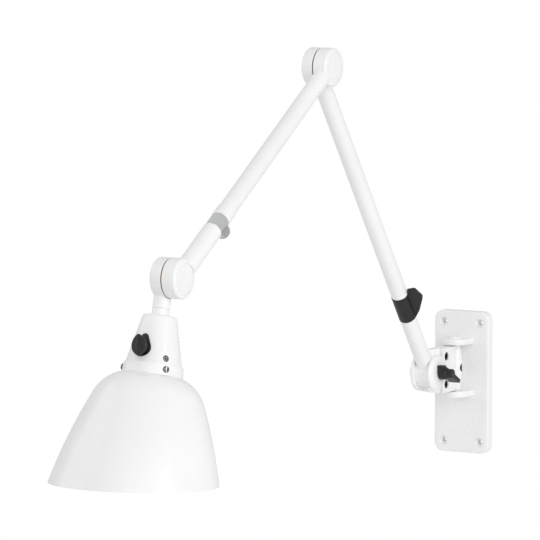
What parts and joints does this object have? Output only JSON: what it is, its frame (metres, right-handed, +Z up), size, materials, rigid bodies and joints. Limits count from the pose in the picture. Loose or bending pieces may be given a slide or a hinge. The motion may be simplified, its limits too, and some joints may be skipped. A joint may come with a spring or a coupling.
{
  "type": "articulating wall lamp",
  "caption": "Articulating wall lamp: swivel wall bracket, two tube arms that twist and fold at round friction joints, tilting neck with rotary switch and an asymmetric bell shade",
  "frame": {"origin": "centre of the wall plate's back face, on the wall", "axes": "+Z up, +Y into the wall, +X to the right seen from the room; the arms reach out along -Y"},
  "size_m": [0.1651, 0.7958, 0.4651],
  "materials": {
    "white_cast": "satin",
    "white_tube": "satin",
    "white_shade": "satin",
    "black_plastic": "satin",
    "black_steel": "satin",
    "bright_steel": "satin",
    "spring_steel": "satin",
    "chrome": "polished",
    "brown_fibre": "matte",
    "white_nylon": "satin",
    "bronze": "satin",
    "white_ceramic": "gloss",
    "brass": "satin",
    "grey_cast": "satin"
  },
  "bodies": {
    "wall_bracket": {"wall_plate": "white_cast", "pivot_pin": "bright_steel", "pivot_caps": "white_cast"},
    "swivel": {"swivel_block": "white_cast", "swivel_cover": "white_cast", "cover_screws": "black_steel", "swivel_set_screw": "black_steel", "pivot_bushes": "white_nylon", "hinge_bolt": "black_steel", "hinge_friction_washer": "brown_fibre", "hinge_dome": "white_cast"},
    "lower_stub": {"lower_knuckle": "white_cast", "lower_spindle": "bright_steel", "hinge_bush": "bronze"},
    "hinge_knob": {"hinge_wing_knob": "black_plastic"},
    "twist_clamp": {"clamp_sleeve": "black_plastic"},
    "lower_arm": {"lower_bearing_plug": "bright_steel", "lower_tube": "white_tube", "elbow_inner_half": "white_cast", "elbow_inner_cap": "white_cast", "elbow_bush": "bronze"},
    "outer_arm": {"elbow_outer_half": "white_cast", "elbow_outer_cap": "white_cast", "elbow_bolt": "bright_steel", "elbow_nut": "bright_steel", "elbow_disc_springs": "spring_steel", "elbow_friction_washer": "brown_fibre", "outer_tube": "white_tube", "coupling_sleeve": "white_cast", "twist_bush": "bronze"},
    "arm_end": {"twist_spindle": "bright_steel", "twist_ring": "chrome", "twist_lug": "bright_steel", "lug_screw": "bright_steel", "head_tube": "white_cast", "head_tube_plug": "bright_steel", "head_outer_half": "white_cast", "head_outer_cap": "white_cast", "head_bolt": "bright_steel", "head_nut": "bright_steel", "head_disc_springs": "spring_steel", "head_friction_washer": "brown_fibre"},
    "neck": {"head_inner_half": "white_cast", "head_inner_cap": "white_cast", "head_bush": "bronze", "neck_nipple": "bright_steel", "neck_nut": "bright_steel"},
    "lamp_head": {"lamp_housing": "white_cast", "lamp_shade": "white_shade", "shade_ring": "grey_cast", "shade_screws": "bright_steel", "holder_ring": "grey_cast", "holder_screws": "black_steel", "lampholder_shell": "black_plastic", "lampholder_core": "white_ceramic", "centre_contact": "brass", "lampholder_thread": "brass", "switch_plate": "black_plastic", "switch_body": "black_plastic"},
    "switch": {"switch_knob": "black_plastic"}
  },
  "joints": [
    {"name": "wall_swivel", "type": "hinge", "parent": "wall_bracket", "child": "swivel", "pos_m": [0, -0.0257, 0.018], "axis": [0, 0, 1], "range_deg": [-80, 75]},
    {"name": "arm_lift", "type": "hinge", "parent": "swivel", "child": "lower_stub", "pos_m": [0, -0.0911, 0.0198], "axis": [1, 0, 0], "range_deg": [-36, 84]},
    {"name": "hinge_clamp", "type": "hinge", "parent": "swivel", "child": "hinge_knob", "pos_m": [0.02, -0.0911, 0.0198], "axis": [1, 0, 0], "range_deg": [-120, 60]},
    {"name": "sleeve_turn", "type": "hinge", "parent": "lower_stub", "child": "twist_clamp", "pos_m": [0, -0.1486, 0.09779], "axis": [0, -0.5934, 0.8049], "range_deg": [-60, 60]},
    {"name": "lower_twist", "type": "hinge", "parent": "lower_stub", "child": "lower_arm", "pos_m": [0, -0.1486, 0.09779], "axis": [0, -0.5934, 0.8049], "range_deg": [-90, 90]},
    {"name": "elbow_fold", "type": "hinge", "parent": "lower_arm", "child": "outer_arm", "pos_m": [0, -0.34627, 0.3659], "axis": [1, 0, 0], "range_deg": [-86, 62]},
    {"name": "outer_twist", "type": "hinge", "parent": "outer_arm", "child": "arm_end", "pos_m": [0.015, -0.57001, 0.22577], "axis": [0, -0.8475, -0.5308], "range_deg": [-90, 90]},
    {"name": "head_tilt", "type": "hinge", "parent": "arm_end", "child": "neck", "pos_m": [0, -0.65069, 0.17524], "axis": [1, 0, 0], "range_deg": [-110, 95]},
    {"name": "head_swivel", "type": "hinge", "parent": "neck", "child": "lamp_head", "pos_m": [0, -0.65861, 0.14568], "axis": [0, -0.2588, -0.9659], "range_deg": [-160, 160]},
    {"name": "switch_turn", "type": "hinge", "parent": "lamp_head", "child": "switch", "pos_m": [0, -0.69375, 0.1111], "axis": [0, -0.8956, 0.4449], "range_deg": [0, 90]}
  ]
}
